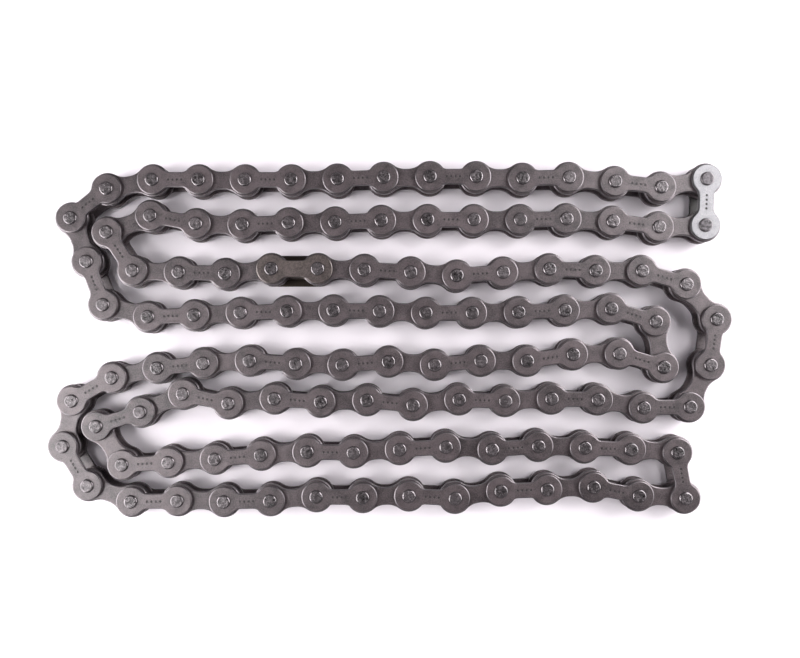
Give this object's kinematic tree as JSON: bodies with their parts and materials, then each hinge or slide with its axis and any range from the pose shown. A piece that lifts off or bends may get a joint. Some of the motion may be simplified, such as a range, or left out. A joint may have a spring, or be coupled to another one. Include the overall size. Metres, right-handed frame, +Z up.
{
  "type": "bicycle chain",
  "caption": "Closed single-speed roller chain lying folded in rows: plates riveted on pins, rollers on bushings, a connecting link with a spring clip.",
  "frame": {"origin": "on the surface the chain lies on, under the middle of its outline", "axes": "+X along the rows, +Y towards the top row, +Z up along the pins"},
  "size_m": [0.1882, 0.098, 0.0094],
  "materials": {
    "plate_steel": "dark phosphated steel, satin",
    "browned_steel": "browned steel, satin",
    "nickel_plate": "bright nickel plate, lightly scuffed",
    "pin_steel": "hardened steel, peened ends",
    "bushing_steel": "rolled steel, oiled",
    "roller_steel": "ground steel, oiled",
    "clip_steel": "blackened spring steel"
  },
  "bodies": {
    "chain_rows": {"outer_plates": "plate_steel", "inner_plates": "plate_steel", "pins": "pin_steel", "bushings": "bushing_steel", "rollers": "roller_steel", "connecting_plate": "browned_steel", "connecting_pins": "pin_steel", "cover_plate": "browned_steel"},
    "spring_clip": {"spring_clip": "clip_steel"},
    "outer_link_6": {"outer_plates_6": "plate_steel", "pins_6": "pin_steel"},
    "outer_link_8": {"outer_plates_8": "plate_steel", "pins_8": "pin_steel"},
    "outer_link_10": {"outer_plates_10": "plate_steel", "pins_10": "pin_steel"},
    "outer_link_12": {"outer_plates_12": "plate_steel", "pins_12": "pin_steel"},
    "outer_link_16": {"outer_plates_16": "plate_steel", "pins_16": "pin_steel"},
    "outer_link_18": {"outer_plates_18": "plate_steel", "pins_18": "pin_steel"},
    "outer_link_20": {"outer_plates_20": "plate_steel", "pins_20": "pin_steel"},
    "outer_link_22": {"outer_plates_22": "plate_steel", "pins_22": "pin_steel"},
    "inner_link_7": {"inner_plates_7": "plate_steel", "bushings_7": "bushing_steel"},
    "inner_link_9": {"inner_plates_9": "plate_steel", "bushings_9": "bushing_steel"},
    "inner_link_11": {"inner_plates_11": "plate_steel", "bushings_11": "bushing_steel"},
    "inner_link_17": {"inner_plates_17": "plate_steel", "bushings_17": "bushing_steel"},
    "inner_link_19": {"inner_plates_19": "plate_steel", "bushings_19": "bushing_steel"},
    "inner_link_21": {"inner_plates_21": "plate_steel", "bushings_21": "bushing_steel"},
    "end_links": {"bright_plates": "nickel_plate", "bright_pins": "pin_steel", "end_inner_plates": "plate_steel", "end_bushings": "bushing_steel"},
    "roller_7_a": {"roller_7_a": "roller_steel"},
    "roller_7_b": {"roller_7_b": "roller_steel"},
    "roller_9_a": {"roller_9_a": "roller_steel"},
    "roller_9_b": {"roller_9_b": "roller_steel"},
    "roller_11_a": {"roller_11_a": "roller_steel"},
    "roller_11_b": {"roller_11_b": "roller_steel"},
    "roller_17_a": {"roller_17_a": "roller_steel"},
    "roller_17_b": {"roller_17_b": "roller_steel"},
    "roller_19_a": {"roller_19_a": "roller_steel"},
    "roller_19_b": {"roller_19_b": "roller_steel"},
    "roller_21_a": {"roller_21_a": "roller_steel"},
    "roller_21_b": {"roller_21_b": "roller_steel"},
    "roller_13_a": {"roller_13_a": "roller_steel"},
    "roller_13_b": {"roller_13_b": "roller_steel"},
    "roller_15_a": {"roller_15_a": "roller_steel"},
    "roller_15_b": {"roller_15_b": "roller_steel"}
  },
  "joints": [
    {"name": "pivot_6", "type": "hinge", "parent": "chain_rows", "child": "outer_link_6", "pos_m": [-0.01438, 0.04387, 0.0043], "axis": [0, 0, 1], "range_deg": [-2, 28]},
    {"name": "pivot_7", "type": "hinge", "parent": "outer_link_6", "child": "inner_link_7", "pos_m": [-0.00169, 0.04431, 0.0043], "axis": [0, 0, 1], "range_deg": [-28, 2]},
    {"name": "pivot_8", "type": "hinge", "parent": "inner_link_7", "child": "outer_link_8", "pos_m": [0.01101, 0.04453, 0.0043], "axis": [0, 0, 1], "range_deg": [-2, 28]},
    {"name": "pivot_9", "type": "hinge", "parent": "outer_link_8", "child": "inner_link_9", "pos_m": [0.02371, 0.04453, 0.0043], "axis": [0, 0, 1], "range_deg": [-28, 2]},
    {"name": "pivot_10", "type": "hinge", "parent": "inner_link_9", "child": "outer_link_10", "pos_m": [0.0364, 0.04409, 0.0043], "axis": [0, 0, 1], "range_deg": [-2, 28]},
    {"name": "pivot_11", "type": "hinge", "parent": "outer_link_10", "child": "inner_link_11", "pos_m": [0.0491, 0.04431, 0.0043], "axis": [0, 0, 1], "range_deg": [-28, 2]},
    {"name": "pivot_12", "type": "hinge", "parent": "inner_link_11", "child": "outer_link_12", "pos_m": [0.06175, 0.0432, 0.0043], "axis": [0, 0, 1], "range_deg": [-2, 28]},
    {"name": "pivot_13", "type": "hinge", "parent": "outer_link_12", "child": "end_links", "pos_m": [0.07436, 0.04166, 0.0043], "axis": [0, 0, 1], "range_deg": [-28, 2]},
    {"name": "pivot_16", "type": "hinge", "parent": "end_links", "child": "outer_link_16", "pos_m": [0.07373, 0.03073, 0.0043], "axis": [0, 0, 1], "range_deg": [-2, 28]},
    {"name": "pivot_17", "type": "hinge", "parent": "outer_link_16", "child": "inner_link_17", "pos_m": [0.06112, 0.03227, 0.0043], "axis": [0, 0, 1], "range_deg": [-28, 2]},
    {"name": "pivot_18", "type": "hinge", "parent": "inner_link_17", "child": "outer_link_18", "pos_m": [0.04844, 0.03294, 0.0043], "axis": [0, 0, 1], "range_deg": [-2, 28]},
    {"name": "pivot_19", "type": "hinge", "parent": "outer_link_18", "child": "inner_link_19", "pos_m": [0.03574, 0.03272, 0.0043], "axis": [0, 0, 1], "range_deg": [-28, 2]},
    {"name": "pivot_20", "type": "hinge", "parent": "inner_link_19", "child": "outer_link_20", "pos_m": [0.02304, 0.03272, 0.0043], "axis": [0, 0, 1], "range_deg": [-2, 28]},
    {"name": "pivot_21", "type": "hinge", "parent": "outer_link_20", "child": "inner_link_21", "pos_m": [0.01034, 0.03272, 0.0043], "axis": [0, 0, 1], "range_deg": [-28, 2]},
    {"name": "pivot_22", "type": "hinge", "parent": "inner_link_21", "child": "outer_link_22", "pos_m": [-0.00236, 0.03249, 0.0043], "axis": [0, 0, 1], "range_deg": [-2, 28]},
    {"name": "roller_7_a_spin", "type": "hinge", "parent": "inner_link_7", "child": "roller_7_a", "pos_m": [-0.00169, 0.04431, 0.0043], "axis": [0, 0, 1], "continuous": true},
    {"name": "roller_7_b_spin", "type": "hinge", "parent": "inner_link_7", "child": "roller_7_b", "pos_m": [0.01101, 0.04453, 0.0043], "axis": [0, 0, 1], "continuous": true},
    {"name": "roller_9_a_spin", "type": "hinge", "parent": "inner_link_9", "child": "roller_9_a", "pos_m": [0.02371, 0.04453, 0.0043], "axis": [0, 0, 1], "continuous": true},
    {"name": "roller_9_b_spin", "type": "hinge", "parent": "inner_link_9", "child": "roller_9_b", "pos_m": [0.0364, 0.04409, 0.0043], "axis": [0, 0, 1], "continuous": true},
    {"name": "roller_11_a_spin", "type": "hinge", "parent": "inner_link_11", "child": "roller_11_a", "pos_m": [0.0491, 0.04431, 0.0043], "axis": [0, 0, 1], "continuous": true},
    {"name": "roller_11_b_spin", "type": "hinge", "parent": "inner_link_11", "child": "roller_11_b", "pos_m": [0.06175, 0.0432, 0.0043], "axis": [0, 0, 1], "continuous": true},
    {"name": "roller_17_a_spin", "type": "hinge", "parent": "inner_link_17", "child": "roller_17_a", "pos_m": [0.06112, 0.03227, 0.0043], "axis": [0, 0, 1], "continuous": true},
    {"name": "roller_17_b_spin", "type": "hinge", "parent": "inner_link_17", "child": "roller_17_b", "pos_m": [0.04844, 0.03294, 0.0043], "axis": [0, 0, 1], "continuous": true},
    {"name": "roller_19_a_spin", "type": "hinge", "parent": "inner_link_19", "child": "roller_19_a", "pos_m": [0.03574, 0.03272, 0.0043], "axis": [0, 0, 1], "continuous": true},
    {"name": "roller_19_b_spin", "type": "hinge", "parent": "inner_link_19", "child": "roller_19_b", "pos_m": [0.02304, 0.03272, 0.0043], "axis": [0, 0, 1], "continuous": true},
    {"name": "roller_21_a_spin", "type": "hinge", "parent": "inner_link_21", "child": "roller_21_a", "pos_m": [0.01034, 0.03272, 0.0043], "axis": [0, 0, 1], "continuous": true},
    {"name": "roller_21_b_spin", "type": "hinge", "parent": "inner_link_21", "child": "roller_21_b", "pos_m": [-0.00236, 0.03249, 0.0043], "axis": [0, 0, 1], "continuous": true},
    {"name": "roller_13_a_spin", "type": "hinge", "parent": "end_links", "child": "roller_13_a", "pos_m": [0.07436, 0.04166, 0.0043], "axis": [0, 0, 1], "continuous": true},
    {"name": "roller_13_b_spin", "type": "hinge", "parent": "end_links", "child": "roller_13_b", "pos_m": [0.08686, 0.04386, 0.0043], "axis": [0, 0, 1], "continuous": true},
    {"name": "roller_15_a_spin", "type": "hinge", "parent": "end_links", "child": "roller_15_a", "pos_m": [0.08642, 0.03117, 0.0043], "axis": [0, 0, 1], "continuous": true},
    {"name": "roller_15_b_spin", "type": "hinge", "parent": "end_links", "child": "roller_15_b", "pos_m": [0.07373, 0.03073, 0.0043], "axis": [0, 0, 1], "continuous": true},
    {"name": "clip_slide", "type": "slide", "parent": "chain_rows", "child": "spring_clip", "axis": [1, 0, 0], "range_m": [0, 0.004]}
  ],
  "couplings": [
    {"joint": "pivot_7", "follows": "pivot_6", "ratio": -1},
    {"joint": "pivot_9", "follows": "pivot_8", "ratio": -1},
    {"joint": "pivot_11", "follows": "pivot_10", "ratio": -1},
    {"joint": "pivot_13", "follows": "pivot_12", "ratio": -1},
    {"joint": "pivot_16", "follows": "pivot_12", "ratio": 1},
    {"joint": "pivot_17", "follows": "pivot_12", "ratio": -1},
    {"joint": "pivot_18", "follows": "pivot_10", "ratio": 1},
    {"joint": "pivot_19", "follows": "pivot_10", "ratio": -1},
    {"joint": "pivot_20", "follows": "pivot_8", "ratio": 1},
    {"joint": "pivot_21", "follows": "pivot_8", "ratio": -1},
    {"joint": "pivot_22", "follows": "pivot_6", "ratio": 1}
  ]
}
